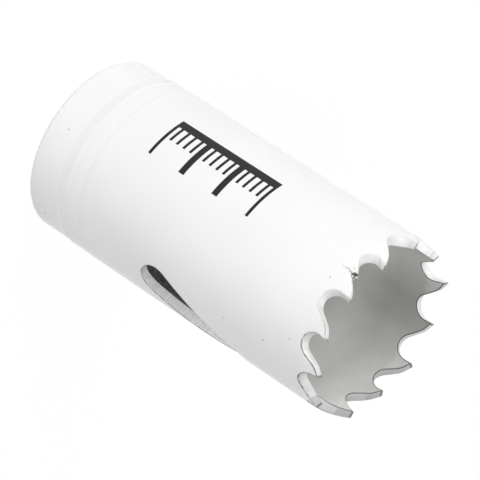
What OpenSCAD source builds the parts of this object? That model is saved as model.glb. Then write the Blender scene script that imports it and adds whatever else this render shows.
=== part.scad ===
// Hole saw for metal and wood: a rolled and welded tube with set teeth on a thick threaded end cap.
// Millimetres. The origin is the centre of the cap's back face and +Z runs along the axis to the teeth.

/* [Body] */
// Outside diameter of the rolled tube
body_d = 21.6; // [20.8:0.2:26]
// Length from the back of the cap to the tooth tips
saw_length = 44; // [38:1:60]
// Thickness of the rolled strip
wall = 1.2; // [0.9:0.1:1.4]
// Width of the butt weld that closes the strip
seam_width = 0.7; // [0.4:0.1:1.2]
// Angle of the butt weld round the axis, in degrees
seam_angle = 268; // [264:1:271]

/* [End cap] */
// Thickness of the flange that closes the tube
flange_thickness = 4.55; // [3.5:0.05:6]
// How far the flange's rim stands inside the tube's outer face
flange_inset = 0.12; // [0.05:0.01:0.3]
// Width of the rounded back edge of the flange
back_edge = 0.6; // [0.2:0.1:1]
// Depth of the spigot that sits inside the tube
spigot_depth = 3.25; // [2:0.25:5]
// Width of the chamfer at the spigot's end
spigot_chamfer = 0.5; // [0.2:0.1:0.8]
// Wall diameter of the threaded hole for a half-inch arbor
thread_bore_d = 11.4; // [10:0.1:12]
// Major diameter of the thread
thread_major_d = 12.7; // [12.2:0.1:13.2]
// How far the countersinks open past the major diameter
countersink_extra = 0.3; // [0.1:0.1:0.6]
// Height of the round weld between the flange and the tube
cap_weld_height = 1.2; // [0.8:0.1:1.6]
// Depth of the round weld into the wall
cap_weld_depth = 0.42; // [0.3:0.02:0.6]

/* [Slots] */
// Number of slanted slots through the tube
slot_count = 2; // [1:1:3]
// Width of a slot
slot_width = 4.4; // [3:0.1:6]
// Distance between the centres of a slot's round ends
slot_run = 11.3; // [6:0.1:14]
// Lean of a slot from the axis, in degrees
slot_lean = 28.5; // [0:0.5:32]
// Height of the middle of a slot above the back face
slot_middle = 25.07; // [22:0.01:26]

/* [Teeth] */
// Depth of a middling gullet below the tips
gullet_depth = 2.6; // [2.3:0.05:3]
// Radius at the bottom of a gullet
gullet_radius = 1.6; // [1.2:0.05:1.7]
// Radius at the bottom of the gullet next to the butt weld
seam_gullet_radius = 1.3; // [1:0.05:1.5]
// Lean of the front face of a tooth under its tip, in degrees
hook_angle = 4.5; // [0:0.5:8]
// Length of the relief behind a tip
relief_run = 1.35; // [1:0.05:1.6]
// Slope of the relief behind a tip, in degrees
relief_angle = 26; // [15:1:30]
// Turn of the cut faces away from the radial direction, in degrees
face_skew = 12; // [0:1:15]
// Thickness of a tooth at its tip
tip_wall = 0.8; // [0.6:0.05:0.9]
// Height of the hard edge welded to the strip
edge_height = 0.98; // [0.8:0.01:0.98]
// Drop of the strip below the tips on the near side of the butt weld
seam_drop_near = 1.0; // [0.99:0.01:1.1]
// Drop of the strip below the tips on the far side of the butt weld
seam_drop_far = 1.25; // [1.15:0.01:1.35]

/* [Hidden] */
$fn = 240;
// Each tooth as the photograph shows it: angle round the axis, set at the tip (outward is
// positive), change of the depth of the gullet after it, and drop of the tip.
TEETH = [
    [-110.5, -0.70, -0.20, 0],
    [-78.0, -0.20, 0.35, 0],
    [-50.5, 0.10, 0.15, 0],
    [-23.0, -0.40, -0.10, 0],
    [4.5, 0.30, -0.20, 0.3],
    [44.0, 0.22, -0.30, 0],
    [72.0, -0.45, -0.20, 0],
    [100.0, 0.22, 0.05, 0],
    [129.5, -0.45, 0.25, 0],
    [158.5, 0.25, 0.40, 0],
    [189.5, -0.40, 0.40, 0],
    [221.5, 0.25, 0.00, 0],
];
tooth_count = len(TEETH);
arc_steps = 12;
slot_steps = 12;
cut_margin = 2;
root_gap = 0.6;
root_rise = 0.06;
body_r = body_d / 2;
inner_r = body_r - wall;
flange_r = body_r - flange_inset;
mm_per_degree = PI * body_r / 180;
tube_top = saw_length - gullet_depth - min([for (t = TEETH) t[2]]) + root_rise;
root_turn = root_gap / 2 / mm_per_degree;
weld_centre = seam_angle - 360;
weld_turn = seam_width / 4 / mm_per_degree;
edge_base = saw_length - edge_height;

// Angle and gullet of tooth number k, counted round from the tooth before the butt weld.
function tooth(k) = TEETH[k % tooth_count];
function tip_angle(k) = tooth(k)[0] + 360 * floor(k / tooth_count);
function gullet_after(k) = gullet_depth + tooth(k)[2];
function radius_after(k) = k % tooth_count == 0 ? seam_gullet_radius : gullet_radius;
function pitch_after(k) = (tip_angle(k + 1) - tip_angle(k)) * mm_per_degree;
function seam_run() = (weld_centre - tip_angle(0)) * mm_per_degree;

// Centre of the round bottom of a gullet, measured along the strip from the tip before it.
function gullet_centre(k) =
    let (r = radius_after(k), below = gullet_after(k) - r)
    [(r - below * sin(hook_angle)) / cos(hook_angle), -below];
function gullet_angle(k) = tip_angle(k) + gullet_centre(k)[0] / mm_per_degree;

// Heel of the relief of the tooth after gap k.
function heel(k) = [
    pitch_after(k) - relief_run,
    -tooth(k + 1)[3] - relief_run * tan(relief_angle)
];

// The point that the flank rises to from the gullet: the heel, or the strip's end at the weld.
function flank_top(k) = k % tooth_count == 0 ? [seam_run(), -seam_drop_near] : heel(k);

// The flank's slope, tangent to the round bottom.
function flank_slope(k) =
    let (d = flank_top(k) - gullet_centre(k))
    atan2(d[1], d[0]) + asin(radius_after(k) / norm(d));

// The arc of the round bottom, from the front face of the tooth to the flank.
function gullet_arc(k) =
    let (
        c = gullet_centre(k),
        r = radius_after(k),
        from = 180 - hook_angle,
        to = 270 + flank_slope(k)
    )
    [for (i = [0:arc_steps])
        let (t = from + (to - from) * i / arc_steps)
        c + r * [cos(t), sin(t)]];

// Outline of the strip between tooth k and the next, flat, from tip to tip.
function gap_outline(k) = concat(
    [[0, -tooth(k)[3]]],
    gullet_arc(k),
    [flank_top(k)],
    k % tooth_count == 0 ? [[seam_run() + 0.01, -seam_drop_far], heel(k)] : [],
    [[pitch_after(k), -tooth(k + 1)[3]]]
);

// The outline of a gap, closed just below the tips: what is cut from the strip.
function front_at(k, depth) =
    let (start = gullet_arc(k)[0], drop = tooth(k)[3])
    [start[0] * (depth - drop) / (-start[1] - drop), -depth];
function relief_at(k, depth) =
    [pitch_after(k) - (depth - tooth(k + 1)[3]) / tan(relief_angle), -depth];
function gap_cut(k) =
    let (outline = gap_outline(k), last = len(outline) - 1)
    concat(
        [front_at(k, edge_height / 2)],
        [for (i = [1:last - 1]) outline[i]],
        [relief_at(k, edge_height / 2)]
    );

// The outline of a tooth, from the bottom of the gullet before it to the bottom of the one after.
function tooth_outline(k) =
    let (before = gap_outline(k - 1), after = gap_outline(k))
    let (start = gullet_centre(k - 1)[0], end = gullet_centre(k)[0])
    concat(
        [for (i = [len(after) - 1:-1:1]) if (after[i][0] <= end) after[i]],
        [for (i = [len(before) - 1:-1:0]) if (before[i][0] >= start) before[i] - [pitch_after(k - 1), 0]]
    );

// Outline of a slot, flat, about its middle.
function slot_end(turn) = [for (i = [0:slot_steps])
    let (t = turn + 180 * i / slot_steps)
    slot_width / 2 * [cos(t), sin(t)]
        + (turn < 90 ? 1 : -1) * slot_run / 2 * [sin(slot_lean), cos(slot_lean)]];
function slot_cut() = concat(slot_end(-slot_lean), slot_end(180 - slot_lean));

// Where the line through the strip at angle a, turned by skew, meets the flat plane x = reach.
function through(a, skew, reach) =
    body_r * sin(a) + (reach - body_r * cos(a)) * tan(a - skew);

// Cuts a flat outline through the rolled strip, with its walls along the strip's own normals.
module rolled_cut(outline, middle, height, skew) {
    n = len(outline);
    inside = inner_r * 0.8;
    outside = body_r + cut_margin;
    mean_s = (min([for (p = outline) p[0]]) + max([for (p = outline) p[0]])) / 2;
    turn = mean_s / mm_per_degree;
    angles = [for (p = outline) p[0] / mm_per_degree - turn];
    near = [for (i = [0:n - 1]) [inside, through(angles[i], skew, inside), outline[i][1]]];
    far = [for (i = [0:n - 1]) [outside, through(angles[i], skew, outside), outline[i][1]]];
    sides = [for (i = [0:n - 1]) each
        let (j = (i + 1) % n)
        [[i, n + i, n + j], [i, n + j, j]]];
    ends = [[for (i = [0:n - 1]) i], [for (i = [n - 1:-1:0]) n + i]];
    translate([0, 0, height]) rotate([0, 0, middle + turn])
        polyhedron(points = concat(near, far), faces = concat(sides, ends), convexity = 6);
}

module gap(k) {
    rolled_cut(gap_cut(k), tip_angle(k), saw_length, face_skew);
}

module slots() {
    for (i = [0:slot_count - 1])
        rolled_cut(slot_cut(), i * 360 / slot_count, slot_middle, 0);
}

// Radii of the strip's faces at height z, for a tooth that is set by set at its tip.
function bend(z) = max(0, (z - tube_top) / (saw_length - tube_top));
function outer_at(set, z) = body_r + set * bend(z);
function inner_at(set, z) = inner_r + (set + wall - tip_wall) * bend(z);

// The wall from low to high over a part of the turn, leaning with the set of its tooth.
module leaning_wall(set, from, to, low, high) {
    reach = body_r + cut_margin;
    intersection() {
        rotate_extrude() polygon([
            [inner_at(set, low), low],
            [outer_at(set, low), low],
            [outer_at(set, high), high],
            [inner_at(set, high), high],
        ]);
        translate([0, 0, low - cut_margin]) linear_extrude(height = high - low + 2 * cut_margin)
            polygon([
                [0, 0],
                reach * [cos(from), sin(from)],
                reach * 1.1 * [cos((from + to) / 2), sin((from + to) / 2)],
                reach * [cos(to), sin(to)],
            ]);
    }
}

// The strip of tooth k before its gaps are cut.
module tooth_blank(k, low, high) {
    start = k == 1 ? weld_centre + weld_turn : gullet_angle(k - 1) + root_turn;
    leaning_wall(tooth(k)[1], start, gullet_angle(k) - root_turn, low, high);
}

// The plain wall, with the bevel at its foot that the round weld fills.
module plain_wall(high) {
    rotate_extrude() polygon([
        [inner_r, flange_thickness],
        [body_r - cap_weld_depth, flange_thickness],
        [body_r, flange_thickness + cap_weld_height * 0.7],
        [body_r, high],
        [inner_r, high],
    ]);
}

module butt_joint() {
    rotate([0, 0, seam_angle]) translate([inner_r * 0.8, -seam_width / 2, 0])
        cube([body_r, seam_width, saw_length]);
}

module saw_body() {
    color("white") difference() {
        union() {
            plain_wall(tube_top);
            for (k = [1:tooth_count]) tooth_blank(k, tube_top, edge_base);
            leaning_wall(0, gullet_angle(0) + root_turn, weld_centre - weld_turn, tube_top, edge_base);
        }
        for (k = [0:tooth_count - 1]) gap(k);
        slots();
        butt_joint();
    }
}

module seam_weld() {
    color("gainsboro") difference() {
        intersection() {
            plain_wall(edge_base);
            butt_joint();
        }
        gap(0);
    }
}

module cap_weld() {
    color("white") rotate_extrude() polygon([
        [flange_r, flange_thickness - cap_weld_height * 0.3],
        [body_r, flange_thickness + cap_weld_height * 0.7],
        [body_r - cap_weld_depth, flange_thickness],
    ]);
}

module end_cap() {
    bore_r = thread_bore_d / 2;
    mouth_r = thread_major_d / 2 + countersink_extra;
    cap_top = flange_thickness + spigot_depth;
    color("whitesmoke") rotate_extrude() polygon(concat(
        [[mouth_r, 0]],
        [for (i = [0:6])
            let (t = 90 * i / 6)
            [flange_r - back_edge + back_edge * sin(t), back_edge - back_edge * cos(t)]],
        [
            [flange_r, flange_thickness - cap_weld_height * 0.3],
            [body_r - cap_weld_depth, flange_thickness],
            [inner_r, flange_thickness],
            [inner_r, cap_top - spigot_chamfer],
            [inner_r - spigot_chamfer, cap_top],
            [mouth_r, cap_top],
            [bore_r, cap_top - (mouth_r - bore_r)],
            [bore_r, mouth_r - bore_r],
        ]
    ));
}

module tooth_tip(k) {
    color("lightgray") intersection() {
        tooth_blank(k, edge_base, saw_length);
        rolled_cut(tooth_outline(k), tip_angle(k), saw_length, face_skew);
    }
}

saw_body();
seam_weld();
cap_weld();
end_cap();
for (number = [1:tooth_count])
    tooth_tip(number);
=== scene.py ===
# %% [markdown]
# This lesson dresses a small hole saw. The real one is a strip of steel with teeth along one edge.
# It is rolled into a tube, closed with a butt weld, welded onto a thick threaded cap and painted white.
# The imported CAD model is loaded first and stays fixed, so each new piece is drawn in the same frame.

# %% Load the frame
import math

import bpy
import numpy as np
from mathutils import Matrix, Vector
from mathutils.geometry import delaunay_2d_cdt


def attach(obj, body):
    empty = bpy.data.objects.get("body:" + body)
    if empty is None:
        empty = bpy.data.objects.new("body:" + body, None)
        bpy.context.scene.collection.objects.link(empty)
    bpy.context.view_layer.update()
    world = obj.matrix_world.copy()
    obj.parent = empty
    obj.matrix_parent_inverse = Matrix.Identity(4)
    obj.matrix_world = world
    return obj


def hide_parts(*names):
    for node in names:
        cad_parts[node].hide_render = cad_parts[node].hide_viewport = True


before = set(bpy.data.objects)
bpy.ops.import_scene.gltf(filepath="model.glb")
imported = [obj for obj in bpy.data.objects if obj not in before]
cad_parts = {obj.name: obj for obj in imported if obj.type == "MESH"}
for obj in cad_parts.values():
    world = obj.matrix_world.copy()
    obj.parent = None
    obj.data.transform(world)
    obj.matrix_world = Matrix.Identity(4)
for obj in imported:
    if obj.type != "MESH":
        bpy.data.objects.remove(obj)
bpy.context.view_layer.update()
print("the packed model has", len(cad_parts), "nodes")

# %% [markdown]
# The strip is easiest to think of before it is rolled: a flat band with teeth cut along its top edge.
# Its measures are those of the CAD source, in millimetres, and metres come in at the very end.
# Only the step at the butt weld is deeper here than in the CAD source.

# %% Sizes of the saw
MM = 0.001
body_radius = 10.8
saw_length = 44.0
wall = 1.2
# At the tips the wall is ground thinner.
tip_wall = 0.8
seam_width = 0.7
seam_angle = -92.0
flange_radius = 10.68
flange_thickness = 4.55
cap_top = 7.8
joint_top = 5.39
inner_radius = body_radius - wall
mm_per_degree = math.pi * body_radius / 180
# The hard tips start at the first height, and the teeth begin to lean at the second.
edge_base = 43.02
tube_top = 41.76
print("one degree of the rim is", round(mm_per_degree, 4), "mm")

# %% Sizes of the teeth
gullet_depth = 2.6
gullet_radius = 1.6
seam_gullet_radius = 1.3
# The front face leans forward by the hook angle, and the relief falls away behind each tip.
hook = math.radians(4.5)
relief_run = 1.35
relief = math.tan(math.radians(26))
heel_round = 0.45
# Where the strip's two ends meet, they stand this far below the tips.
seam_drop_near = 1.0
seam_drop_far = 1.9
# Each tooth: angle, set at the tip, change in the depth of the gullet after it, drop of the tip.
TEETH = (
    (-110.5, -0.70, -0.20, 0.0),
    (-78.0, -0.20, 0.35, 0.0),
    (-50.5, 0.10, 0.15, 0.0),
    (-23.0, -0.40, -0.10, 0.0),
    (4.5, 0.30, -0.20, 0.3),
    (44.0, 0.22, -0.30, 0.0),
    (72.0, -0.45, -0.20, 0.0),
    (100.0, 0.22, 0.05, 0.0),
    (129.5, -0.45, 0.25, 0.0),
    (158.5, 0.25, 0.40, 0.0),
    (189.5, -0.40, 0.40, 0.0),
    (221.5, 0.25, 0.00, 0.0),
)
tooth_count = len(TEETH)
print(tooth_count, "teeth")

# %% [markdown]
# Between two tips the strip has a gap: a steep front face, a round gullet, a flank and a short relief.
# The teeth could be cut from a finished tube, but the real ones are cut in the flat strip.
# So the gap is a flat outline from one tip to the next, with points close enough for a smooth curve.

# %% The outline of one gap
gullet_points = 22
corner_points = 6
# The side of the notch at the butt weld is a hair off upright, so that each place has one height.
notch_lean = 0.01


def tip_angle(k):
    """The angle of tip k. Past the last tooth it goes on round the saw again."""
    return TEETH[k % tooth_count][0] + 360 * (k // tooth_count)


def soft_corner(before, corner, after, reach):
    """Points that round a corner off."""
    a = corner + (before - corner) * reach / np.linalg.norm(before - corner)
    b = corner + (after - corner) * reach / np.linalg.norm(after - corner)
    shares = np.linspace(0, 1, corner_points)
    return [a * (1 - t) ** 2 + corner * 2 * t * (1 - t) + b * t ** 2 for t in shares]


def gap_outline(k):
    """Flat points from tip k to the next tip: along the strip, and up from the tips."""
    depth = gullet_depth + TEETH[k % tooth_count][2]
    first_drop = TEETH[k % tooth_count][3]
    next_drop = TEETH[(k + 1) % tooth_count][3]
    pitch = (tip_angle(k + 1) - tip_angle(k)) * mm_per_degree
    at_seam = k % tooth_count == 0
    radius = seam_gullet_radius if at_seam else gullet_radius
    below = depth - radius
    centre = np.array([(radius - below * math.sin(hook)) / math.cos(hook), -below])
    heel = np.array([pitch - relief_run, -next_drop - relief_run * relief])
    seam_run = (seam_angle - TEETH[0][0]) * mm_per_degree
    top = np.array([seam_run, -seam_drop_near]) if at_seam else heel
    reach = top - centre
    slope = math.atan2(reach[1], reach[0]) + math.asin(radius / np.hypot(*reach))
    turns = np.linspace(math.pi - hook, 1.5 * math.pi + slope, gullet_points)
    arc = [centre + radius * np.array([math.cos(t), math.sin(t)]) for t in turns]
    tip = np.array([pitch, -next_drop])
    points = [np.array([0.0, -first_drop])] + arc
    before = arc[-1]
    if at_seam:
        before = np.array([seam_run + notch_lean, -seam_drop_far])
        points += [top, before]
    return points + soft_corner(before, heel, tip, heel_round) + [tip]


def on_strip(k):
    """The gap's points as places on the strip: millimetres round from angle zero, and height."""
    return [(tip_angle(k) * mm_per_degree + x, saw_length + y) for x, y in gap_outline(k)]


print("a gap outline has", len(gap_outline(1)), "points")

# %% [markdown]
# The strip carries three kinds of flat shape: the band itself, the hard tips welded onto its edge,
# and the narrow weld where its two ends meet. Each is a closed loop of points,
# and each point carries the rounding of the side that follows it.
# Cut edges are deburred and painted, so they are rounded more than the sides that only touch a weld.

# %% Cut the strip into its loops
cut_round = 0.18
joint_round = 0.012
flush_round = 0.003
half_seam = seam_width / 2
strip_start = seam_angle * mm_per_degree + half_seam
strip_end = (seam_angle + 360) * mm_per_degree - half_seam


def crossing(a, b, height):
    """Where the side from a to b passes a height."""
    t = (height - a[1]) / (b[1] - a[1])
    return (a[0] + t * (b[0] - a[0]), height)


def at_reach(a, b, reach):
    """Where the side from a to b passes a place along the strip."""
    t = (reach - a[0]) / (b[0] - a[0])
    return (reach, a[1] + t * (b[1] - a[1]))


rim = []
for k in range(tooth_count + 1):
    points = on_strip(k)
    rim += points if k == 0 else points[1:]
start = next(i for i in range(len(rim)) if rim[i + 1][0] > strip_start)
end = next(i for i in range(len(rim)) if rim[i + 1][0] > strip_end and i > start)
strip_rim = [at_reach(rim[start], rim[start + 1], strip_start)]
strip_rim += rim[start + 1:end + 1]
strip_rim += [at_reach(rim[end], rim[end + 1], strip_end)]
print("the rim has", len(strip_rim), "points")

# %% Split the rim at the line where the hard tips are welded on
band_rim = []
tips = []
tip_run = []
for a, b in zip(strip_rim, strip_rim[1:]):
    if a[1] <= edge_base:
        band_rim.append((a[0], a[1], cut_round))
    else:
        tip_run.append((a[0], a[1], cut_round))
    if a[1] <= edge_base < b[1]:
        p = crossing(a, b, edge_base)
        band_rim.append((p[0], p[1], joint_round))
        tip_run = [(p[0], p[1], cut_round)]
    if a[1] > edge_base >= b[1]:
        p = crossing(a, b, edge_base)
        band_rim.append((p[0], p[1], cut_round))
        tips.append(tip_run + [(p[0], p[1], joint_round)])
band_rim.append((strip_rim[-1][0], strip_rim[-1][1], flush_round))
print(len(tips), "hard tips")


# %% Close the loops
def reverse_loop(loop):
    """The same loop the other way round. Each point carries the rounding of the side that follows it."""
    n = len(loop)
    return [(loop[i][0], loop[i][1], loop[(i - 1) % n][2]) for i in range(n - 1, -1, -1)]


# The strip stands a hair above the cap's flange, so that no two faces lie in one place.
foot = flange_thickness + 0.02
band_loop = reverse_loop(
    [(strip_end, foot, joint_round), (strip_start, foot, flush_round)] + band_rim
)
print("the band's loop has", len(band_loop), "points")

# %% [markdown]
# Two slanted slots let a stuck core be pushed out. They are punched while the strip is flat,
# so each is a hole in the band's outline: two half circles with straight sides between them.

# %% Punch the slots
slot_width = 4.4
slot_run = 11.3
slot_lean = math.radians(28.5)
slot_middle = 25.07
slot_round = 0.14
slot_steps = 18
slot_angles = (0.0, 180.0)


def slot_loop(angle):
    """A slanted slot with round ends, as a hole: its loop runs clockwise."""
    loop = []
    for side in (1, -1):
        for i in range(slot_steps + 1):
            t = side * math.pi / 2 - slot_lean + math.pi / 2 - math.pi * i / slot_steps
            x = slot_width / 2 * math.cos(t) + side * slot_run / 2 * math.sin(slot_lean)
            y = slot_width / 2 * math.sin(t) + side * slot_run / 2 * math.cos(slot_lean)
            loop.append((angle * mm_per_degree + x, slot_middle + y, slot_round))
    return loop


slots = [slot_loop(angle) for angle in slot_angles]
slot_lines = []
for angle in slot_angles:
    place = np.array([angle * mm_per_degree, slot_middle])
    half = slot_run / 2 * np.array([math.sin(slot_lean), math.cos(slot_lean)])
    slot_lines.append((place - half, place + half))
print(len(slots), "slots, each", round(slot_run + slot_width, 2), "mm long")

# %% [markdown]
# Rolling turns a flat place into a place on the tube. Above the bend line each tooth leans by its own set,
# so that the kerf is wider than the wall. The wall is also ground thinner towards the tips.
# The cut faces aren't radial, because the strip was cut flat and the inside closes up when it is rolled.

# %% Ease from tooth to tooth
gullet_middles = []
for k in range(tooth_count):
    outline = gap_outline(k)
    lowest = min(outline, key=lambda p: p[1])
    gullet_middles.append(tip_angle(k) * mm_per_degree + lowest[0])
full_turn = 360 * mm_per_degree
# Every list goes round three times, so that a place just past either end still finds its neighbours.
middles = np.array([m + turn * full_turn for turn in (-1, 0, 1) for m in gullet_middles])
sets = np.array([TEETH[(k + 1) % tooth_count][1] for k in range(tooth_count)] * 3)
# How far the cut leans in each gap, in degrees.
LEANS = (22, 12, 15, 15, 13, 13, 13, 9, 11, 22, 16, 5)
leans = np.array(LEANS * 3, float)
blend_run = 0.35


def smooth(t):
    """Eases from zero to one."""
    t = np.clip(t, 0, 1)
    return t * t * (3 - 2 * t)


def by_tooth(u, values):
    """A value per tooth, eased from one tooth to the next in the middle of each gullet."""
    at = np.searchsorted(middles, u) - 1
    here = values[np.clip(at, 0, len(values) - 1)]
    before = values[np.clip(at - 1, 0, len(values) - 1)]
    after = values[np.clip(at + 1, 0, len(values) - 1)]
    from_left = u - middles[np.clip(at, 0, len(middles) - 1)]
    from_right = middles[np.clip(at + 1, 0, len(middles) - 1)] - u
    low = 0.5 * (1 - smooth(from_left / blend_run)) * (before - here)
    high = 0.5 * (1 - smooth(from_right / blend_run)) * (after - here)
    return here + low + high


print("the set at angle zero is", by_tooth(np.array([0.0]), sets), "mm")

# %% Flare the slots
slot_flare = 0.3
flare_reach = 1.3
# Places further inside a slot than this stay, and a push is never divided by less than the second value.
flare_inside = 0.4
least_distance = 0.1


def flared(u, z, share):
    """A punched slot opens a little towards the inside, so its sides are moved outwards with depth."""
    for line_start, line_end in slot_lines:
        along = line_end - line_start
        offset = np.stack([u, z], -1) - line_start
        t = np.clip(offset @ along / (along @ along), 0, 1)
        apart = offset - t[..., None] * along
        distance = np.linalg.norm(apart, axis=-1)
        push = slot_flare * share * np.clip(1 - (distance - slot_width / 2) / flare_reach, 0, 1)
        push = np.where(distance > slot_width / 2 - flare_inside, push, 0)
        push = push / np.maximum(distance, least_distance)
        u = u + push * apart[..., 0]
        z = z + push * apart[..., 1]
    return u, z


print("a slot is", slot_width + 2 * slot_flare, "mm wide on the inside")

# %% Roll a flat place onto the tube
# The rings above the cap: the height and the depth of each. Below the upper one the band is ground back.
RINGS = ((6.2, 0.025), (7.8, 0.045))
ring_width = 0.12
ground_back = 0.02
ground_run = 0.2
foot_bevel = 0.5
# The teeth lean along a line that is partly curved.
curved_share = 0.35
# The lean of the cut grows from one height, and the inner side of a cut rises from another.
lean_start = 34.0
lean_run = 5.0
rise_start = 39.0
rise_run = 2.0
inner_rise = 0.2


def roll(u, z, depth):
    """Places on the tube for arrays of flat places. Depth runs from the outer face inwards."""
    u, z, depth = (np.asarray(a, float) for a in (u, z, depth))
    share = depth / wall
    u, z = flared(u, z, share)
    bend = np.clip((z - tube_top) / (saw_length - tube_top), 0, 1)
    bend = bend * bend * (2 - bend) * curved_share + bend * (1 - curved_share)
    thickness = wall - (wall - tip_wall) * bend
    radius = body_radius + by_tooth(u, sets) * bend - thickness * share
    ring = sum(dip * np.exp(-((z - at) / ring_width) ** 2) for at, dip in RINGS)
    ring = ring + ground_back * smooth((RINGS[1][0] - z) / ground_run)
    bevel = foot_bevel * np.clip(joint_top - z, 0, 1)
    radius = radius - (ring + bevel) * (1 - share)
    lean = np.radians(np.interp(u, middles, leans)) * smooth((z - lean_start) / lean_run)
    drawn = body_radius - depth
    shift = np.arcsin(body_radius * np.sin(lean) / drawn) - lean
    angle = u / body_radius + shift
    rise = inner_rise * share * smooth((z - rise_start) / rise_run)
    rise = rise * np.clip((saw_length - z) / rise_run, 0, 1)
    return np.stack([radius * np.cos(angle), radius * np.sin(angle), z + rise], -1)


print("at angle zero the rim's top is at", roll([0.0], [saw_length], [0.0]).round(2))

# %% [markdown]
# One helper makes every rolled plate. Its outer and inner faces are the same fine triangulation
# of the loop, and rings of points round the edges over, as a wire brush and a coat of paint do.
# Solidify and Bevel could do it too, but they would round every edge alike and know nothing of the roll.

# %% Inset a loop
# Sides that turn by less than this count as one, and a corner reaches in at most so many roundings.
nearly_straight = 0.05
longest_corner = 1.8


def insets(loop):
    """For each point of a loop, how far its rounded edge reaches into the face."""
    p = np.array([(a, b) for a, b, _ in loop])
    side = np.roll(p, -1, 0) - p
    length = np.linalg.norm(side, axis=1)
    inward = np.stack([-side[:, 1], side[:, 0]], -1) / length[:, None]
    amount = np.array([r for _, _, r in loop])
    reach = np.zeros_like(p)
    for i in range(len(p)):
        a, b = inward[i - 1], inward[i]
        ra, rb = amount[i - 1], amount[i]
        cross = a[0] * b[1] - a[1] * b[0]
        if abs(cross) < nearly_straight:
            reach[i] = (a * ra + b * rb) / 2
        else:
            reach[i] = np.array([ra * b[1] - rb * a[1], rb * a[0] - ra * b[0]]) / cross
            most = longest_corner * max(ra, rb)
            reach[i] *= min(1, most / np.linalg.norm(reach[i]))
    depth = np.maximum(amount, np.roll(amount, 1))
    return p, reach, depth


print("the band's edge reaches in by up to", round(float(np.abs(insets(band_loop)[1]).max()), 3), "mm")

# %% Points and triangles inside a loop
same_place = 1e-6


def inside(points, loop):
    """Which points lie inside a closed loop."""
    x, y = points[:, 0], points[:, 1]
    found = np.zeros(len(points), bool)
    for (x1, y1), (x2, y2) in zip(loop, np.roll(loop, -1, 0)):
        if y1 == y2:
            continue
        spans = (y1 > y) != (y2 > y)
        found ^= spans & (x < (x2 - x1) * (y - y1) / (y2 - y1) + x1)
    return found


def far_from(points, edge, distance):
    """Which points keep at least a distance from every point of an edge."""
    keep = np.ones(len(points), bool)
    for e in edge:
        near = np.abs(points - e).max(1) < distance
        if near.any():
            keep[near] &= np.linalg.norm(points[near] - e, axis=1) > distance
    return keep


def filled(loops, grid, clearance):
    """Triangles that fill the first loop and leave the others open."""
    points = np.vstack(loops)
    keep = inside(grid, loops[0])
    for hole in loops[1:]:
        keep &= ~inside(grid, hole)
    grid = grid[keep]
    grid = grid[far_from(grid, points, clearance)]
    edges = []
    first = 0
    for loop in loops:
        n = len(loop)
        edges += [(first + i, first + (i + 1) % n) for i in range(n)]
        first += n
    every = np.vstack([points, grid]) if len(grid) else points
    made = delaunay_2d_cdt([Vector(p) for p in every], edges, [], 0, same_place)
    source = [ids[0] if ids else -1 for ids in made[3]]
    triangles = np.array([[source[i] for i in face] for face in made[2]])
    middle = every[triangles].mean(1)
    keep = inside(middle, loops[0])
    for hole in loops[1:]:
        keep &= ~inside(middle, hole)
    return every, triangles[keep]


square = [(-1, -1), (1, -1), (1, 1), (-1, 1)]
print("inside a square:", inside(np.array([(0.0, 0.0), (2.0, 0.0)]), square))

# %% Make a rolled plate
rounding_steps = 4
# The inner edges are rounded less than the outer ones.
inner_rounding = 0.4
# Sides that are ground flush with a weld keep a sharp edge, so that no line shows along them.
sharp_below = 0.005
# A side with more rounding than this is a cut, and its edge is marked up to this turn, for the finish.
cut_above = 0.03
marked_turn = 1.4


def close_points(loop, spacing):
    """The same loop with long sides divided."""
    out = []
    n = len(loop)
    for i in range(n):
        a, b = loop[i], loop[(i + 1) % n]
        out.append(a)
        length = math.hypot(b[0] - a[0], b[1] - a[1])
        parts = max(1, math.ceil(length / spacing))
        for j in range(1, parts):
            t = j / parts
            out.append((a[0] + (b[0] - a[0]) * t, a[1] + (b[1] - a[1]) * t, a[2]))
    return out


def store(mesh, name, values):
    """Keeps a number for each point, for the finish to read."""
    kept = mesh.attributes.new(name, "FLOAT", "POINT")
    kept.data.foreach_set("value", np.asarray(values, np.float32))


def flush_sides(round_depth, first, count):
    """The edges along sides with hardly any rounding, on the outer face and on the inner one."""
    n = len(round_depth)
    found = set()
    for i in range(n):
        j = (i + 1) % n
        if max(round_depth[i], round_depth[j]) < sharp_below:
            found.add(frozenset((first + i, first + j)))
            found.add(frozenset((count + first + i, count + first + j)))
    return found


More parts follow.
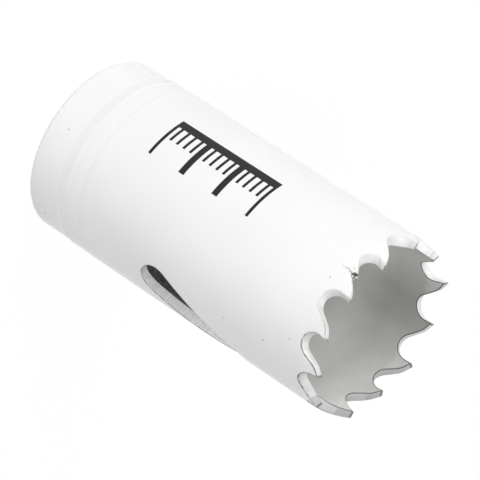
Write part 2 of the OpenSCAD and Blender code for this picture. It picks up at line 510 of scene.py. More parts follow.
def rolled_plate(name, loops, grid, spacing, clearance):
    """A plate from flat loops, rolled onto the tube. The first loop is its outline, the others are holes."""
    loops = [close_points(loop, spacing) for loop in loops]
    data = [insets(loop) for loop in loops]
    faces_flat = [p + reach for p, reach, _ in data]
    flat, triangles = filled(faces_flat, grid, clearance)
    count = len(flat)
    places = [np.c_[flat, np.zeros(count)], np.c_[flat, np.full(count, wall)]]
    outer_edge = [np.zeros(2 * count)]
    inner_edge = [np.zeros(2 * count)]
    faces = [tuple(t) for t in triangles]
    faces += [tuple(t[::-1] + count) for t in triangles]
    total = 2 * count
    offset = 0
    flush = set()
    for p, reach, round_depth in data:
        n = len(p)
        flush |= flush_sides(round_depth, offset, count)
        rings = [offset + np.arange(n)]
        steps = [math.pi / 2 * i / rounding_steps for i in range(1, rounding_steps + 1)]
        cut = (round_depth > cut_above).astype(float)
        for t in steps:
            flat_ring = p + reach * (1 - math.sin(t))
            places.append(np.c_[flat_ring, round_depth * (1 - math.cos(t))])
            outer_edge.append(cut * (t < marked_turn))
            inner_edge.append(0 * cut)
            rings.append(total + np.arange(n))
            total += n
        for t in steps[::-1]:
            flat_ring = p + reach * (1 - math.sin(t))
            places.append(np.c_[flat_ring, wall - inner_rounding * round_depth * (1 - math.cos(t))])
            outer_edge.append(0 * cut)
            inner_edge.append(cut * (t < marked_turn))
            rings.append(total + np.arange(n))
            total += n
        rings.append(count + offset + np.arange(n))
        for upper, lower in zip(rings, rings[1:]):
            for i in range(n):
                j = (i + 1) % n
                faces.append((upper[i], lower[i], lower[j], upper[j]))
        offset += n
    places = np.vstack(places)
    mesh = bpy.data.meshes.new(name)
    verts = roll(places[:, 0], places[:, 1], places[:, 2]) * MM
    mesh.from_pydata([tuple(v) for v in verts], [], [tuple(int(i) for i in f) for f in faces])
    mesh.validate()
    store(mesh, "outer_edge", np.concatenate(outer_edge))
    store(mesh, "inner_edge", np.concatenate(inner_edge))
    store(mesh, "depth", places[:, 2] / wall)
    store(mesh, "along", places[:, 0])
    store(mesh, "below_top", places[:, 1].max() - places[:, 1])
    for polygon in mesh.polygons:
        polygon.use_smooth = True
    for edge in mesh.edges:
        edge.use_edge_sharp = frozenset(edge.vertices) in flush
    piece = bpy.data.objects.new(name, mesh)
    bpy.context.scene.collection.objects.link(piece)
    print(name, len(mesh.vertices), "points", len(mesh.polygons), "faces,", len(flush), "flush edges")
    return piece


# %% [markdown]
# The band is the largest plate. Its grid of points is finer near the teeth, where the wall bends,
# and has close rows at the top of the ring weld and at the two faint rings above the cap.

# %% Make the band
fine_above = 38.5
seam_columns = (0.06, 0.15, 0.27)


def rows(low, high, step):
    """Evenly spaced values from a low one up to a high one."""
    return list(np.arange(low, high, step))


heights = [4.9, 5.2, joint_top, 5.7, 5.9, 6.05, 6.12, 6.2, 6.28, 6.35, 6.5]
heights += [6.8, 7.1, 7.4, 7.6, 7.68, 7.74, 7.8, 7.86, 7.92, 8.0]
heights += rows(8.4, 38.4, 0.6) + rows(38.6, saw_length, 0.22)
near_seam = [strip_start + d for d in seam_columns] + [strip_end - d for d in seam_columns]
columns_wide = list(np.linspace(strip_start, strip_end, 150)[1:-1]) + near_seam
columns_fine = list(np.linspace(strip_start, strip_end, 320)[1:-1]) + near_seam
grid = [(u, z) for z in heights if z < fine_above for u in columns_wide]
grid += [(u, z) for z in heights if z >= fine_above for u in columns_fine]
band = rolled_plate("rolled_band", [band_loop] + slots, np.array(grid), spacing=0.4, clearance=0.16)

# %% [markdown]
# The strip's two ends are welded edge to edge and ground flush, so the weld is a narrow plate of its own
# with sharp sides. At the rim it steps down from one end of the strip to the other.

# %% The butt weld that closes the band
# Where the step's foot and its head stand, from the middle of the weld.
step_foot = 0.06
step_head = -0.02
weld_columns = (-0.17, 0.0, 0.17)
weld_u = seam_angle * mm_per_degree
near_top = saw_length - seam_drop_near
far_top = saw_length - seam_drop_far
near_side = at_reach(rim[end], rim[end + 1], strip_end)
far_side = at_reach(rim[start], rim[start + 1], strip_start)
weld_loop = [
    (weld_u - half_seam, foot, joint_round),
    (weld_u + half_seam, foot, flush_round),
    (weld_u + half_seam, far_side[1], cut_round),
    (weld_u + step_foot, far_top, cut_round),
    (weld_u + step_head, near_top, cut_round),
    (weld_u - half_seam, near_side[1], flush_round),
]
weld_grid = np.array([(weld_u + x, z) for z in heights for x in weld_columns])
butt_weld = rolled_plate("butt_weld", [weld_loop], weld_grid, spacing=0.4, clearance=0.12)

# %% [markdown]
# A band of harder steel is welded onto the strip before the teeth are cut, and only its tips are left.
# Each tip is a small plate on the same outline, so it meets the band without a step.

# %% The hard tips
tip_step = 0.2
tip_pieces = []
for number, loop in enumerate(tips, 1):
    us = [p[0] for p in loop]
    levels = rows(edge_base + tip_step / 2, saw_length, tip_step)
    tip_grid = np.array([(u, z) for u in rows(min(us), max(us), tip_step) for z in levels])
    outline = [reverse_loop(loop)]
    piece = rolled_plate(f"hard_tip_{number}", outline, tip_grid, spacing=tip_step, clearance=0.12)
    tip_pieces.append(piece)
print(len(tip_pieces), "tips made")

# %% [markdown]
# The cap is a turned steel plug with a round edge below and a threaded hole for the arbor.
# A lathe could be copied with a Screw modifier, but rings of points that follow the profile,
# closed all the way round, give full control over each corner.

# %% Turn the cap
turning_steps = 192
sharp_angle = math.radians(35)
thread_major = 6.35
mouth_radius = 6.65
mouth_step = 1.2
mouth_bevel = 0.3
edge_round = 0.6
inner_bevel = 0.5
# The ring weld starts on the flange at this height, and its inner end is this far in from the band.
weld_start = 4.19
weld_reach = 0.42


def arc(cx, cz, radius, start, stop, steps):
    """Points of an arc round a middle, between two angles in degrees."""
    out = []
    for i in range(steps + 1):
        t = math.radians(start + (stop - start) * i / steps)
        out.append((cx + radius * math.cos(t), cz + radius * math.sin(t)))
    return out


def turned(name, profile, steps):
    """A closed ring-shaped piece from a closed profile that runs counterclockwise in (radius, height)."""
    n = len(profile)
    verts = []
    for i in range(steps):
        t = 2 * math.pi * i / steps
        verts += [(r * math.cos(t) * MM, r * math.sin(t) * MM, z * MM) for r, z in profile]
    faces = []
    for i in range(steps):
        j = (i + 1) % steps
        for a in range(n):
            b = (a + 1) % n
            faces.append((i * n + a, j * n + a, j * n + b, i * n + b))
    mesh = bpy.data.meshes.new(name)
    mesh.from_pydata(verts, [], faces)
    for polygon in mesh.polygons:
        polygon.use_smooth = True
    piece = bpy.data.objects.new(name, mesh)
    bpy.context.scene.collection.objects.link(piece)
    print(name, len(mesh.vertices), "points")
    return piece


cap_profile = [(mouth_radius + 0.02, 0.0), (mouth_radius + mouth_step, 0.0), (flange_radius - 0.75, 0.0)]
cap_profile += arc(flange_radius - edge_round, edge_round, edge_round, -90, 0, 10)
cap_profile += [(flange_radius, z) for z in (1.2, 2.0, 2.8, 3.6, weld_start)]
cap_profile += [(body_radius - weld_reach, flange_thickness), (inner_radius, flange_thickness)]
cap_profile += [(inner_radius, 6.0), (inner_radius, cap_top - inner_bevel)]
cap_profile += [(inner_radius - inner_bevel, cap_top), (mouth_radius, cap_top)]
cap_profile += [(thread_major, cap_top - mouth_bevel)]
cap_profile += [(thread_major, z) for z in (6.5, 5.0, 3.5, 2.0, 1.0, mouth_bevel)]
cap = turned("threaded_cap", cap_profile, turning_steps)
cap.data.set_sharp_from_angle(angle=sharp_angle)

# %% [markdown]
# A weld runs all the way round between cap and band, and it is dressed down to a shallow slope.
# It is turned like the cap, from a profile with a small hollow where the weld meets the flange.

# %% The round weld between cap and band
weld_top_gap = 0.018
weld_profile = [
    (flange_radius, weld_start), (10.68, 4.42), (10.66, 4.5), (10.68, 4.58), (10.72, 4.85), (10.765, 5.2),
    (body_radius - weld_top_gap, joint_top),
    (10.6, 5.0), (body_radius - weld_reach, flange_thickness),
]
ring_weld = turned("ring_weld", weld_profile, turning_steps)
ring_weld.data.set_sharp_from_angle(angle=sharp_angle)

# %% [markdown]
# The arbor thread in the cap is a ridge that follows a helix, twenty turns to the inch.
# Geometry Nodes sweep a small three-sided profile along a spiral, so the pitch and the height stay inputs.
# A Screw modifier makes a helix too, but its ends can't taper off as a cut thread's do.

# %% Sweep the thread
thread_turns = 4.9
thread_rise = 6.2
thread_start = 0.8
helix_radius = thread_major + 0.02
ridge_size = 0.45
# The ridge fades out over this share of its length at each end.
fade_share = 0.09
fade_size = 0.1
points_per_turn = 72
ridge_sides = 3
thread_tree = bpy.data.node_groups.new("arbor_thread_tree", "GeometryNodeTree")
sockets = thread_tree.interface


def tree_input(name, kind, value):
    """Adds an input to the tree and gives its identifier."""
    item = sockets.new_socket(name=name, in_out="INPUT", socket_type=kind)
    item.default_value = value
    return item.identifier


inputs = {
    "turns": tree_input("Turns", "NodeSocketFloat", thread_turns),
    "rise": tree_input("Rise", "NodeSocketFloat", thread_rise * MM),
    "radius": tree_input("Helix radius", "NodeSocketFloat", helix_radius * MM),
    "ridge": tree_input("Ridge size", "NodeSocketFloat", ridge_size * MM),
}
finish_socket = sockets.new_socket(name="Finish", in_out="INPUT", socket_type="NodeSocketMaterial")
sockets.new_socket(name="Geometry", in_out="OUTPUT", socket_type="NodeSocketGeometry")
print("thread inputs:", ", ".join(inputs))

# %% Wire the thread's nodes
nodes = thread_tree.nodes
link = thread_tree.links.new
given = nodes.new("NodeGroupInput")
result = nodes.new("NodeGroupOutput")
spiral = nodes.new("GeometryNodeCurveSpiral")
spiral.inputs["Resolution"].default_value = points_per_turn
link(given.outputs["Turns"], spiral.inputs["Rotations"])
link(given.outputs["Helix radius"], spiral.inputs["Start Radius"])
link(given.outputs["Helix radius"], spiral.inputs["End Radius"])
link(given.outputs["Rise"], spiral.inputs["Height"])
upright = nodes.new("GeometryNodeSetCurveNormal")
upright.mode = "Z_UP"
link(spiral.outputs["Curve"], upright.inputs["Curve"])
along = nodes.new("GeometryNodeSplineParameter")
taper = nodes.new("ShaderNodeFloatCurve")
curve = taper.mapping.curves[0]
curve.points[0].location = (0.0, fade_size)
curve.points[1].location = (1.0, fade_size)
curve.points.new(fade_share, 1.0)
curve.points.new(1 - fade_share, 1.0)
taper.mapping.update()
link(along.outputs["Factor"], taper.inputs["Value"])
sized = nodes.new("GeometryNodeSetCurveRadius")
link(upright.outputs["Curve"], sized.inputs["Curve"])
link(taper.outputs["Value"], sized.inputs["Radius"])
section = nodes.new("GeometryNodeCurvePrimitiveCircle")
section.inputs["Resolution"].default_value = ridge_sides
link(given.outputs["Ridge size"], section.inputs["Radius"])
sweep = nodes.new("GeometryNodeCurveToMesh")
sweep.inputs["Fill Caps"].default_value = True
link(sized.outputs["Curve"], sweep.inputs["Curve"])
link(section.outputs["Curve"], sweep.inputs["Profile Curve"])
lift = nodes.new("GeometryNodeTransform")
lift.inputs["Translation"].default_value = (0, 0, thread_start * MM)
link(sweep.outputs["Mesh"], lift.inputs["Geometry"])
real = nodes.new("GeometryNodeRealizeInstances")
link(lift.outputs["Geometry"], real.inputs["Geometry"])
finish_node = nodes.new("GeometryNodeSetMaterial")
link(real.outputs["Geometry"], finish_node.inputs["Geometry"])
link(given.outputs["Finish"], finish_node.inputs["Material"])
link(finish_node.outputs["Geometry"], result.inputs["Geometry"])
print("thread tree has", len(nodes), "nodes")

# %% [markdown]
# The finishes come before the thread is converted, because the tree sets its material.
# The saw is sprayed white all over. The coat is satin, with a very fine orange-peel texture,
# and it is thin on the cut edges, where the grey steel shows through.
# Every finish is made of shader nodes, so a few helpers come first to keep each one short to read.


# %% Node helpers
def new_finish(name):
    """A new material with its node tree and its shader."""
    finish = bpy.data.materials.new(name)
    finish.use_nodes = True
    tree = finish.node_tree
    shader = tree.nodes["Principled BSDF"]
    return finish, tree, shader


def add(tree, kind, **settings):
    """A new node with its settings."""
    node = tree.nodes.new(kind)
    for key, value in settings.items():
        setattr(node, key, value)
    return node


def noise(tree, scale, detail):
    """Noise on the object's own coordinates."""
    place = add(tree, "ShaderNodeTexCoord")
    node = add(tree, "ShaderNodeTexNoise")
    node.inputs["Scale"].default_value = scale
    node.inputs["Detail"].default_value = detail
    tree.links.new(place.outputs["Object"], node.inputs["Vector"])
    return node.outputs["Fac"]


def ramp(tree, source, stops):
    """A colour for each value, from stops of a value and its colour."""
    node = add(tree, "ShaderNodeValToRGB")
    elements = node.color_ramp.elements
    for i, (at, colour) in enumerate(stops):
        element = elements[i] if i < 2 else elements.new(at)
        element.position = at
        element.color = colour
    tree.links.new(source, node.inputs["Fac"])
    return node.outputs["Color"]


def mix(tree, share, a, b, blend="MIX"):
    """Colour b over colour a. The share and both colours may be sockets or plain values."""
    node = add(tree, "ShaderNodeMix", data_type="RGBA", blend_type=blend)
    for socket, value in ((node.inputs[0], share), (node.inputs[6], a), (node.inputs[7], b)):
        if isinstance(value, bpy.types.NodeSocket):
            tree.links.new(value, socket)
        else:
            socket.default_value = value
    return node.outputs[2]


def grey(value, tint=(1, 1, 1)):
    """A grey as a colour, with a slight tint if it needs one."""
    return (value * tint[0], value * tint[1], value * tint[2], 1)


print("a mid grey is", grey(0.5))


# %% More node helpers
def math_node(tree, operation, a, b=None, clamp=False):
    """A calculation on two values, each a socket or a plain number."""
    node = add(tree, "ShaderNodeMath", operation=operation, use_clamp=clamp)
    for socket, value in zip(node.inputs, (a, b)):
        if isinstance(value, bpy.types.NodeSocket):
            tree.links.new(value, socket)
        elif value is not None:
            socket.default_value = value
    return node.outputs[0]


def times(tree, a, b):
    """The product of two values, which keeps only what both masks show."""
    return math_node(tree, "MULTIPLY", a, b)


def eased(tree, source, low, high, start=0.0, stop=1.0):
    """Eases from start to stop while the source goes from low to high."""
    node = add(tree, "ShaderNodeMapRange", interpolation_type="SMOOTHSTEP")
    tree.links.new(source, node.inputs["Value"])
    for name, value in (("From Min", low), ("From Max", high), ("To Min", start), ("To Max", stop)):
        node.inputs[name].default_value = value
    return node.outputs[0]


def kept(tree, name):
    """A number that the mesh keeps for each point."""
    return add(tree, "ShaderNodeAttribute", attribute_name=name).outputs["Fac"]


def bumped(tree, shader, height, strength, distance):
    """Gives a shader a fine relief. The distance is in millimetres."""
    bump = add(tree, "ShaderNodeBump")
    bump.inputs["Strength"].default_value = strength
    bump.inputs["Distance"].default_value = distance * MM
    tree.links.new(height, bump.inputs["Height"])
    tree.links.new(bump.outputs["Normal"], shader.inputs["Normal"])


print("one millimetre is", MM, "m to a shader")


# %% Where a shaded point lies on the saw
def place_on_saw(tree):
    """The shaded point's x, y and z, in metres."""
    split = add(tree, "ShaderNodeSeparateXYZ")
    tree.links.new(add(tree, "ShaderNodeTexCoord").outputs["Object"], split.inputs[0])
    return split.outputs


def unrolled(tree, start):
    """The height, and the distance round the tube from an angle in degrees, both in millimetres."""
    place = place_on_saw(tree)
    height = math_node(tree, "DIVIDE", place["Z"], MM)
    turn = math_node(tree, "ARCTAN2", place["Y"], place["X"])
    across = times(tree, turn, body_radius)
    return height, math_node(tree, "SUBTRACT", across, start * mm_per_degree)


print("half a turn unrolls to", round(180 * mm_per_degree, 2), "mm")

# %% [markdown]
# A few specks of dirt lie on the paint. Each is a small soft spot at its own place on the saw,
# made from the distance between the shaded point and that place. Noise could scatter specks too,
# but then they wouldn't lie where the real ones do.

# %% Specks
# Each speck: its angle, its height and its size. The dark middle takes up part of the size.
SPECKS = (
    (-26.6, 36.3, 0.16), (-38.6, 39.7, 0.14), (-23.0, 30.4, 0.13), (-82.3, 40.6, 0.13),
    (-70.8, 2.8, 0.14), (-7.7, 2.4, 0.22),
)
speck_middle = 0.4
speck_share = 0.6


def specks(tree):
    """A mask that is strongest on each speck of dirt."""
    place = add(tree, "ShaderNodeTexCoord").outputs["Object"]
    total = None
    for angle, z, size in SPECKS:
        # The cap is a little narrower than the band.
        surface = flange_radius if z < flange_thickness else body_radius
        t = math.radians(angle)
        apart = add(tree, "ShaderNodeVectorMath", operation="DISTANCE")
        tree.links.new(place, apart.inputs[0])
        apart.inputs[1].default_value = Vector((surface * math.cos(t), surface * math.sin(t), z)) * MM
        spot = eased(tree, apart.outputs["Value"], size * MM, speck_middle * size * MM)
        total = spot if total is None else math_node(tree, "MAXIMUM", total, spot)
    return times(tree, total, speck_share)


print(len(SPECKS), "specks")

# %% [markdown]
# The print's place carries a plain black depth scale: a bar with a short tick for each millimetre
# and a long one for every fifth. It is drawn from the same flat coordinates that the strip was cut with,
# so it is ink on the paint, not a raised shape.

# %% The printed scale
# The scale runs between two heights, and its bar and ticks reach this far round from its start.
scale_low = 13.0
scale_high = 28.0
scale_start = -116.0
scale_bar = 1.1
scale_tick = 3.2
scale_long = 5.8
tick_half = 0.18
long_half = 0.4
tick_pitch = 1.0
long_pitch = 5.0
ink_blur = 0.02
print("the scale is", scale_high - scale_low, "mm long and", scale_long, "mm wide")


# %% Draw the printed scale
def up_to(tree, value, edge):
    """One below an edge and zero above it, with a slightly soft line between."""
    return eased(tree, value, edge + ink_blur, edge - ink_blur)


def ticks(tree, height, across, pitch, half, reach):
    """Ticks of one length, evenly spaced up the scale."""
    from_start = math_node(tree, "SUBTRACT", height, scale_low)
    from_tick = math_node(tree, "PINGPONG", from_start, pitch / 2)
    return times(tree, up_to(tree, from_tick, half), up_to(tree, across, reach))


def printed_scale(tree):
    """A mask that is one where the black scale is printed."""
    height, across = unrolled(tree, scale_start)
    short = ticks(tree, height, across, tick_pitch, tick_half, scale_tick)
    long = ticks(tree, height, across, long_pitch, long_half, scale_long)
    drawn = math_node(tree, "MAXIMUM", short, long)
    drawn = math_node(tree, "MAXIMUM", up_to(tree, across, scale_bar), drawn)
    above_low = eased(tree, height, scale_low - ink_blur, scale_low + ink_blur)
    past_start = eased(tree, across, -ink_blur, ink_blur)
    outside = up_to(tree, kept(tree, "depth"), ink_blur)
    for part in (above_low, up_to(tree, height, scale_high), past_start, outside):
        drawn = times(tree, drawn, part)
    return drawn


print("the scale has", round((scale_high - scale_low) / long_pitch) + 1, "long ticks")

# %% [markdown]
# The coat is even on the outside and thin on the cut faces, where it has run off or was ground away again.
# How much is left differs round the rim, so a few ramps say it by the place along the strip; they also paint
# shade on the cut faces and the inside where the lamps reach least.
# Hand-painted vertex colours could do the same, but stops in a list are easier to read and to change.

# %% How the coat and the painted shade differ round the rim
rim_start = -18
rim_end = 51
# Each stop is a place along the strip in millimetres and a value.
# The face and tip ramps are partly thin paint and partly painted shade on the teeth whose faces turn away
# from the lamps.
FACE_COAT_AND_SHADE = (
    (-18, 1.0), (-8, 1.0), (-4, 0.88), (3, 0.74), (8, 0.66), (14, 0.6), (19, 0.72), (23, 0.95), (51, 1.0),
)
TIP_COAT_AND_SHADE = ((-18, 1.0), (-6, 0.97), (-2, 0.78), (10, 0.78), (14, 0.92), (30, 1.0), (51, 1.0))
OUTER_LINE = (
    (-18, 0.12), (-13, 0.2), (-10, 0.6), (-5, 0.9), (9, 0.9), (14, 0.8), (20, 0.5), (25, 0.3), (51, 0.12),
)
INNER_LINE = (
    (-18, 0.1), (-8, 0.15), (-2, 0.4), (6, 0.85), (14, 0.85), (30, 0.75), (36, 0.5), (42, 0.2), (51, 0.1),
)
# Mist from the spray gun greyed the inside near the rim. The ramp also paints shade round the rim, darker
# where the lamps reach least.
INSIDE_MIST_AND_SHADE = (
    (-18, 0.86), (-3, 0.93), (3, 0.97), (9, 0.91), (14, 0.79), (17, 0.68), (20, 0.59), (23, 0.48),
    (26, 0.50), (28, 0.63), (31, 0.86), (34, 0.98), (51, 0.92),
)


def round_rim(tree, stops):
    """A value that changes with the place along the strip."""
    place = add(tree, "ShaderNodeMapRange")
    tree.links.new(kept(tree, "along"), place.inputs["Value"])
    place.inputs["From Min"].default_value = rim_start
    place.inputs["From Max"].default_value = rim_end
    span = rim_end - rim_start
    shares = [((u - rim_start) / span, grey(value)) for u, value in stops]
    return ramp(tree, place.outputs["Result"], shares)


print("the ramps cover", rim_end - rim_start, "mm of the strip")

# %% [markdown]
# In the corner where the strip's ends meet at the rim, the weld left a ragged notch that holds dirt, and a
# short groove.
# They are too small and shallow for the strip's outline, so they are drawn, not cut: the notch as dark dirt,
# the groove as a dark line of painted shade.

# %% Dirt and the groove's painted shade in the corner of the butt weld
groove_half = 0.13
groove_core = 0.05
groove_heights = (40.4, 42.1)
notch_half = 0.75
notch_core = 0.2
notch_heights = (41.7, 42.3)
# The middle of the groove lies this far to the side of the weld's middle.
groove_offset = 0.05
# Both masks are broken up where this noise passes from one value to the next.
ragged_scale = 2600
groove_ragged = (0.38, 0.55)
notch_ragged = (0.52, 0.6)


def seam_dirt_and_groove_shade(tree):
    """A mask for the dirt in the ragged notch and the painted shade of the short groove where the strip's
    ends meet at the rim.
    """
    height, across = unrolled(tree, seam_angle)
    off_line = math_node(tree, "ABSOLUTE", math_node(tree, "ADD", across, groove_offset))
    ragged = noise(tree, ragged_scale, 2)
    groove_across = eased(tree, off_line, groove_half, groove_core)
    groove = times(tree, groove_across, eased(tree, height, *groove_heights))
    groove = times(tree, groove, eased(tree, ragged, *groove_ragged))
    notch_across = eased(tree, off_line, notch_half, notch_core)
    notch = times(tree, notch_across, eased(tree, height, *notch_heights))
    notch = times(tree, notch, eased(tree, ragged, *notch_ragged))
    return math_node(tree, "MAXIMUM", groove, notch)


print("the groove is", round(groove_heights[1] - groove_heights[0], 2), "mm long where it fades in")

# %% [markdown]
# The cut faces were painted thinly. Near the rim they are greyed by the ramps above, partly for the thin
# paint and partly as painted shade where they turn away from the lamps, and in the punched slots fine
# streaks run along the wall, where the punch dragged through the steel.
# The points of the hard tips are ground last of all, so they are nearly bare.

# %% The worn paint and the painted shade on the cut faces
# The wear near the rim fades in between these heights.
rim_heights = (36.5, 38.5)
streaks_per_mm = 3.5
# The bare point of a hard tip fades in between these distances below its top.
point_range = (0.18, 0.1)
point_share = 0.75
bare_point = grey(0.1)


def height_eased(tree, height, heights_mm):
    """Eases from zero to one between two heights in millimetres."""
    return eased(tree, height, heights_mm[0] * MM, heights_mm[1] * MM)


def worn_and_shaded_faces(tree, ragged, height, near_rim, tip):
    """The thin paint on the faces that a cutter, a punch or a grinding wheel left, with painted shade near
    the rim on the faces that turn away from the lamps.
    """
    face_tone = ramp(tree, ragged, ((0.3, grey(0.74)), (0.7, grey(0.82))))
    punched = add(tree, "ShaderNodeTexNoise", noise_dimensions="1D")
    punched.inputs["Scale"].default_value = streaks_per_mm / MM
    tree.links.new(height, punched.inputs["W"])
    streaks = ramp(tree, punched.outputs["Fac"], ((0.35, grey(0.88)), (0.6, grey(1.0))))
    streaked = mix(tree, 1.0, face_tone, streaks, "MULTIPLY")
    # Thin paint and painted shade together: the ramp darkens the faces that turn away from the lamps.
    greyed = mix(tree, 1.0, face_tone, round_rim(tree, FACE_COAT_AND_SHADE), "MULTIPLY")
    face_tone = mix(tree, near_rim, streaked, greyed)
    if tip:
        # The tips' ramp is likewise part thin paint, part painted shade.
        face_tone = mix(tree, 1.0, face_tone, round_rim(tree, TIP_COAT_AND_SHADE), "MULTIPLY")
        point = eased(tree, kept(tree, "below_top"), *point_range, 0.0, point_share)
        face_tone = mix(tree, point, face_tone, bare_point)
    return face_tone


print("the wear near the rim fades in over", rim_heights[1] - rim_heights[0], "mm")

# %% [markdown]
# The spray gun only reached the inside near the rim. There the paint is a thin dusty mist, with painted
# shade round the rim where the lamps reach least, and deeper in it gives way to dark, scaly steel with a
# bluish cast.

# %% The misted inside, with painted shade
steel_tint = (1, 1.03, 1.12)
mist_tint = (1, 1.01, 0.97)
# The mist fades in over the first heights, and is thinner nearest the rim, over the second.
mist_heights = (18, 27)
thin_heights = (38.5, 33)
thin_mist = 0.7


def misted_and_shaded_inside(tree, height):
    """Mist near the rim with painted shade round it, and dark scaly steel deep inside."""
    scaly = noise(tree, 3000, 4)
    steel = ramp(tree, scaly, ((0.35, grey(0.09, steel_tint)), (0.65, grey(0.34, steel_tint))))
    dusty = noise(tree, 500, 5)
    mist_and_shade = ramp(tree, dusty, ((0.3, grey(0.93, mist_tint)), (0.7, grey(1.0, mist_tint))))
    # The ramp round the rim is mist and painted shade together.
    mist_and_shade = mix(tree, 1.0, mist_and_shade, round_rim(tree, INSIDE_MIST_AND_SHADE), "MULTIPLY")
    deeper = height_eased(tree, height, thin_heights)
    thinner = ramp(tree, deeper, ((0.0, grey(thin_mist)), (1.0, grey(1.0))))
    mist_and_shade = mix(tree, 1.0, mist_and_shade, thinner, "MULTIPLY")
    return mix(tree, height_eased(tree, height, mist_heights), steel, mist_and_shade)


print("the mist reaches down to", mist_heights[0], "mm")

# %% [markdown]
# A plate's own points say how deep in the wall they lie, so one finish can dress its outside,
# its cut faces and its inside, with the painted shade that their ramps carry. Thin dark lines follow its
# edges, where the paint has broken away, and the print, the dirt and the groove's painted shade come last,
# on top of everything else.

# %% The colours of a plate
# The cut faces show from one depth in the wall to another, as shares of the wall, and then the inside.
face_depths = (0.06, 0.2)
inner_depths = (0.93, 0.99)
slot_line = grey(0.75)
edge_steel = grey(0.07)
burr_steel = grey(0.045)
ink = grey(0.012)
# Dark for the dirt in the notch and for the groove's painted shade.
seam_dirt_and_shade_grey = grey(0.06)


def plate_colours(tree, coat, depth, tip):
    """The coat of a plate, with its cut faces, its inside, its thin edges and its print."""
    ragged = noise(tree, 1500, 3)
    height = place_on_saw(tree)["Z"]
    near_rim = height_eased(tree, height, rim_heights)
    faces = times(tree, eased(tree, depth, *face_depths), eased(tree, depth, *inner_depths[::-1]))
    colour = mix(tree, faces, coat, worn_and_shaded_faces(tree, ragged, height, near_rim, tip))
    colour = mix(tree, eased(tree, depth, *inner_depths), colour, misted_and_shaded_inside(tree, height))
    line = mix(tree, near_rim, slot_line, round_rim(tree, OUTER_LINE))
    thin = times(tree, eased(tree, kept(tree, "outer_edge"), 0.4, 1.0), line)
    thin = times(tree, thin, eased(tree, ragged, 0.35, 0.55, 0.6, 1.0))
    colour = mix(tree, thin, colour, edge_steel)
    line = mix(tree, near_rim, slot_line, round_rim(tree, INNER_LINE))
    burr = times(tree, kept(tree, "inner_edge"), line)
    colour = mix(tree, burr, colour, burr_steel)
    colour = mix(tree, printed_scale(tree), colour, ink)
    # Last, the notch's dirt and the groove's painted shade at the butt weld.
    return mix(tree, seam_dirt_and_groove_shade(tree), colour, seam_dirt_and_shade_grey)


print("the ink's grey is", ink[0])

# %% White paint
# How many times a metre each noise repeats: the cloudy colour, the cloudy gloss and the orange peel.
colour_clouds = 90
gloss_clouds = 900
orange_peel = 2600
paint_shine = 0.3
inside_rough = grey(0.5)
speck_grey = grey(0.2, (1, 0.95, 0.9))


def white_paint(name, plate, tip=False):
    """The sprayed coat. A plate also shows its thin edges, its cut faces and its bare inside."""
    finish, tree, shader = new_finish(name)
    colour = ramp(tree, noise(tree, colour_clouds, 2), ((0.3, grey(0.815)), (0.7, grey(0.845))))
    rough = ramp(tree, noise(tree, gloss_clouds, 2), ((0.2, grey(0.20)), (0.8, grey(0.28))))
    if plate:
        depth = kept(tree, "depth")
        colour = plate_colours(tree, colour, depth, tip)
        rough = mix(tree, eased(tree, depth, 0.1, 0.9), rough, inside_rough)
    colour = mix(tree, specks(tree), colour, speck_grey)
    tree.links.new(colour, shader.inputs["Base Color"])
    tree.links.new(rough, shader.inputs["Roughness"])
    shader.inputs["Specular IOR Level"].default_value = paint_shine
    bumped(tree, shader, noise(tree, orange_peel, 2), strength=0.12, distance=0.02)
    return finish


band_paint = white_paint("band_paint", plate=True)
tip_paint = white_paint("tip_paint", plate=True, tip=True)
cap_paint = white_paint("cap_paint", plate=False)
print("the band's paint has", len(band_paint.node_tree.nodes), "nodes")

# %% [markdown]
# The thread stays bare, so that the arbor fits. It is ground steel: a metal with a fine grain
# that makes it lighter and darker, rougher and smoother from place to place.


# %% Ground steel for the thread
def ground_steel(name):
    """Bare steel as a cutter leaves it."""
    finish, tree, shader = new_finish(name)
    grain = noise(tree, 700, 4)
    colour = ramp(tree, grain, ((0.25, grey(0.58)), (0.75, grey(0.74))))
    rough = ramp(tree, grain, ((0.2, grey(0.32)), (0.8, grey(0.5))))
    tree.links.new(colour, shader.inputs["Base Color"])
    tree.links.new(rough, shader.inputs["Roughness"])
    shader.inputs["Metallic"].default_value = 1.0
    bumped(tree, shader, grain, strength=0.15, distance=0.02)
    return finish


thread_steel = ground_steel("thread_steel")
print("the steel has", len(thread_steel.node_tree.nodes), "nodes")

# %% [markdown]
# The thread's tree now gets its inputs on a modifier, by each socket's identifier.
# The evaluated object is then turned into a plain mesh, because the export keeps no live trees.

# %% Convert the thread to a plain mesh
holder = bpy.data.objects.new("thread_holder", bpy.data.meshes.new("thread_holder"))
bpy.context.scene.collection.objects.link(holder)
modifier = holder.modifiers.new("thread", "NODES")
modifier.node_group = thread_tree
modifier[inputs["turns"]] = thread_turns
modifier[inputs["rise"]] = thread_rise * MM
modifier[inputs["radius"]] = helix_radius * MM
modifier[inputs["ridge"]] = ridge_size * MM
modifier[finish_socket.identifier] = thread_steel
bpy.context.view_layer.update()
graph = bpy.context.evaluated_depsgraph_get()
finished = holder.evaluated_get(graph)
thread_mesh = bpy.data.meshes.new_from_object(finished, preserve_all_data_layers=True, depsgraph=graph)
thread_mesh.name = "arbor_thread"
thread = bpy.data.objects.new("arbor_thread", thread_mesh)
bpy.context.scene.collection.objects.link(thread)
bpy.data.objects.remove(holder)
places = np.array([v.co for v in thread_mesh.vertices]) / MM
narrowest = np.hypot(places[:, 0], places[:, 1]).min()
print("thread:", len(places), "points, narrowest radius", round(float(narrowest), 3), "mm")
print("thread heights", places[:, 2].min().round(3), "to", places[:, 2].max().round(3), "mm")

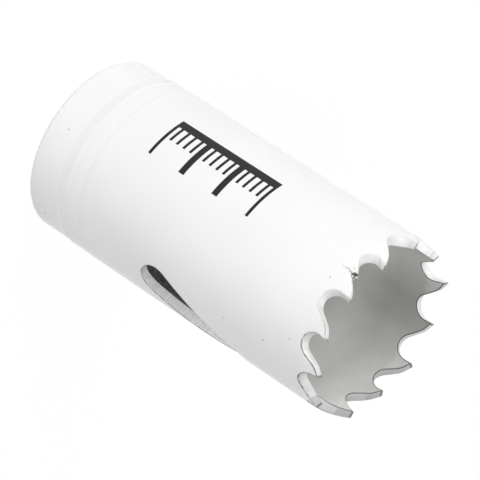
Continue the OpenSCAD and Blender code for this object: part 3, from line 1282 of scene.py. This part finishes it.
# %% [markdown]
# Each piece now rides on the one body of the saw, and the CAD nodes it stands for are hidden.
# The thread is extra detail inside the cap, so it stands for no node of its own.

# %% Put the pieces on the frame
painted = (
    (band, band_paint, "saw_body"),
    (butt_weld, band_paint, "seam_weld"),
    (ring_weld, cap_paint, "cap_weld"),
    (cap, cap_paint, "end_cap"),
)
for piece, finish, node_name in painted:
    piece.data.materials.append(finish)
    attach(piece, "root")
    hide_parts(node_name)
for number, piece in enumerate(tip_pieces, 1):
    piece.data.materials.append(tip_paint)
    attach(piece, "root")
    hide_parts(f"tooth_tip_{number}")
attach(thread, "root")
print(len(painted) + len(tip_pieces) + 1, "pieces ride on the saw")

# %% [markdown]
# The camera looks down on the saw as it stands on its cap, and is rolled so that the teeth point
# to the lower right. Its place is worked out from three angles and a distance, which can be changed
# one at a time. A long lens keeps the tube's sides nearly parallel.

# %% Camera
tilt = math.radians(60.279)
roll_turn = math.radians(-123.307)
camera_turn = math.radians(17.5)
camera_distance = 404.4
aim_height = 22
about = Matrix.Rotation(camera_turn, 3, "Z")
right0 = Vector((1, 0, 0))
up0 = Vector((0, math.cos(tilt), math.sin(tilt)))
back = about @ Vector((0, -math.sin(tilt), math.cos(tilt)))
right = about @ (math.cos(roll_turn) * right0 - math.sin(roll_turn) * up0)
up = about @ (math.sin(roll_turn) * right0 + math.cos(roll_turn) * up0)
camera_data = bpy.data.cameras.new("camera")
camera = bpy.data.objects.new("camera", camera_data)
bpy.context.scene.collection.objects.link(camera)
spin = Matrix((right, up, back)).transposed().to_4x4()
spin.translation = (Vector((0, 0, aim_height)) + back * camera_distance) * MM
camera.matrix_world = spin
camera_data.lens = 272.48
camera_data.sensor_width = 36
camera_data.shift_x = 0.01019
camera_data.shift_y = -0.00971
camera_data.clip_start = 0.01
bpy.context.scene.camera = camera
print("camera at", [round(v, 4) for v in camera.matrix_world.translation])

# %% [markdown]
# The saw is photographed on plain white. More lamp light would make the floor white but would burn out
# the paint, so the floor and the world glow white only for the camera, for reflections and through glass.
# For all other light the floor is a pale grey and the world is dim, and the floor keeps the saw's shadow.

# %% Floor
floor_half = 3
floor_grey = 0.8
floor_rough = 0.9
glow_strength = 1.02
# The rest of what the camera sees of the floor is its own grey, which keeps the shadow.
glow_share = 0.94


def seen_rays(tree):
    """One for rays from the camera, from a reflection or through glass."""
    path = add(tree, "ShaderNodeLightPath")
    seen = math_node(tree, "ADD", path.outputs["Is Camera Ray"], path.outputs["Is Glossy Ray"], True)
    return math_node(tree, "ADD", seen, path.outputs["Is Transmission Ray"], True)


corners = [(x * floor_half, y * floor_half, 0) for x, y in ((-1, -1), (1, -1), (1, 1), (-1, 1))]
floor_mesh = bpy.data.meshes.new("floor")
floor_mesh.from_pydata(corners, [], [(0, 1, 2, 3)])
floor = bpy.data.objects.new("floor", floor_mesh)
bpy.context.scene.collection.objects.link(floor)
floor_finish, tree, shader = new_finish("floor_finish")
shader.inputs["Base Color"].default_value = grey(floor_grey)
shader.inputs["Roughness"].default_value = floor_rough
glow = add(tree, "ShaderNodeEmission")
glow.inputs["Strength"].default_value = glow_strength
blend_node = add(tree, "ShaderNodeMixShader")
tree.links.new(times(tree, seen_rays(tree), glow_share), blend_node.inputs[0])
tree.links.new(shader.outputs[0], blend_node.inputs[1])
tree.links.new(glow.outputs[0], blend_node.inputs[2])
tree.links.new(blend_node.outputs[0], tree.nodes["Material Output"].inputs["Surface"])
floor.data.materials.append(floor_finish)
print("the floor is", 2 * floor_half, "m wide")

# %% The world
sky_level = 0.25
world = bpy.data.worlds.new("surroundings")
bpy.context.scene.world = world
world.use_nodes = True
sky = world.node_tree
backdrop = sky.nodes["Background"]
backdrop.inputs["Color"].default_value = grey(1)
level = eased(sky, seen_rays(sky), 0.0, 1.0, sky_level, 1.0)
sky.links.new(level, backdrop.inputs["Strength"])
print("the world lights the saw at", sky_level)

# %% [markdown]
# Six square softboxes stand round the saw, as in a light tent. The brightest are on the camera's side,
# and the shares of light are set so that the shaded lower side of the tube is as dark as the real one.


# %% Lamps
def lamp(name, place, aim, size, power):
    """A square softbox that points at a place."""
    data = bpy.data.lights.new(name, "AREA")
    data.size = size
    data.energy = power
    item = bpy.data.objects.new(name, data)
    bpy.context.scene.collection.objects.link(item)
    item.location = place
    item.rotation_euler = (Vector(place) - Vector(aim)).to_track_quat("Z", "Y").to_euler()
    return item


# Each row is a softbox: its height and its direction round the saw in degrees, and its share of light.
SOFTBOXES = (
    (40, 300, 0.65), (20, 240, 0.62), (20, 180, 0.38), (65, 240, 0.28), (40, 330, 0.18), (40, 120, 0.2),
)
softbox_size = 0.25
softbox_distance = 0.6
softbox_power = 2.0
middle = Vector((0, 0, aim_height)) * MM
for number, (height, direction, light) in enumerate(SOFTBOXES):
    e = math.radians(height)
    t = math.radians(direction)
    out = Vector((math.cos(e) * math.cos(t), math.cos(e) * math.sin(t), math.sin(e)))
    lamp(f"softbox_{number}", middle + out * softbox_distance, middle, softbox_size, softbox_power * light)
bpy.context.scene.view_settings.view_transform = "Standard"
print(len(SOFTBOXES), "softboxes")
